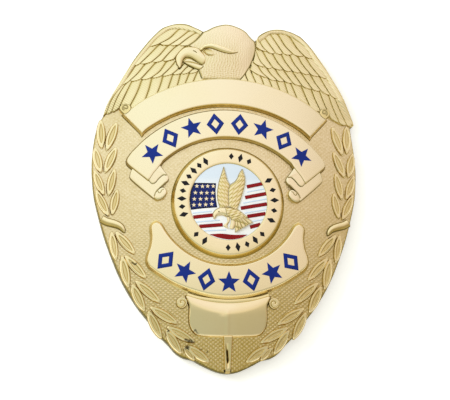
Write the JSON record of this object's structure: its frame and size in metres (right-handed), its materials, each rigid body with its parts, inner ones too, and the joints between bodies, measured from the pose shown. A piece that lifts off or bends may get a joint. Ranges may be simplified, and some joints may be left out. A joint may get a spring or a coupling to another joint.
{
  "type": "security shield badge",
  "caption": "Domed gilt metal shield badge with raised eagle and wings, blank scrolls with blue enamel ornaments, round enamelled seal, laurel edge and a pin at the back.",
  "frame": {"origin": "middle of the badge's outline, on the plane of its flat rim", "axes": "+Z out of the domed face, +Y towards the top of the badge with the eagle's head, +X to the right as the face is looked at"},
  "size_m": [0.0572, 0.0765, 0.0071],
  "materials": {
    "gilt_brass": "die-struck brass, bright gold plate; scrolls and plaque polished, field stippled, feathers and leaves satin",
    "gilt_seal": "struck brass disc, polished gold plate",
    "pale_blue_enamel": "pale blue-white resin enamel, gloss",
    "red_enamel": "dark red resin enamel, gloss",
    "blue_enamel": "royal blue resin enamel, gloss",
    "black_enamel": "black resin enamel, satin gloss",
    "pin_metal": "plated steel pin with its joint and catch"
  },
  "bodies": {
    "root": {"shield_body": "gilt_brass", "seal_disc": "gilt_seal", "seal_sky": "pale_blue_enamel", "seal_stripes": "red_enamel", "seal_canton": "blue_enamel", "seal_marks": "black_enamel", "blue_upper": "blue_enamel", "blue_lower": "blue_enamel", "pin_clasp": "pin_metal"}
  },
  "joints": []
}
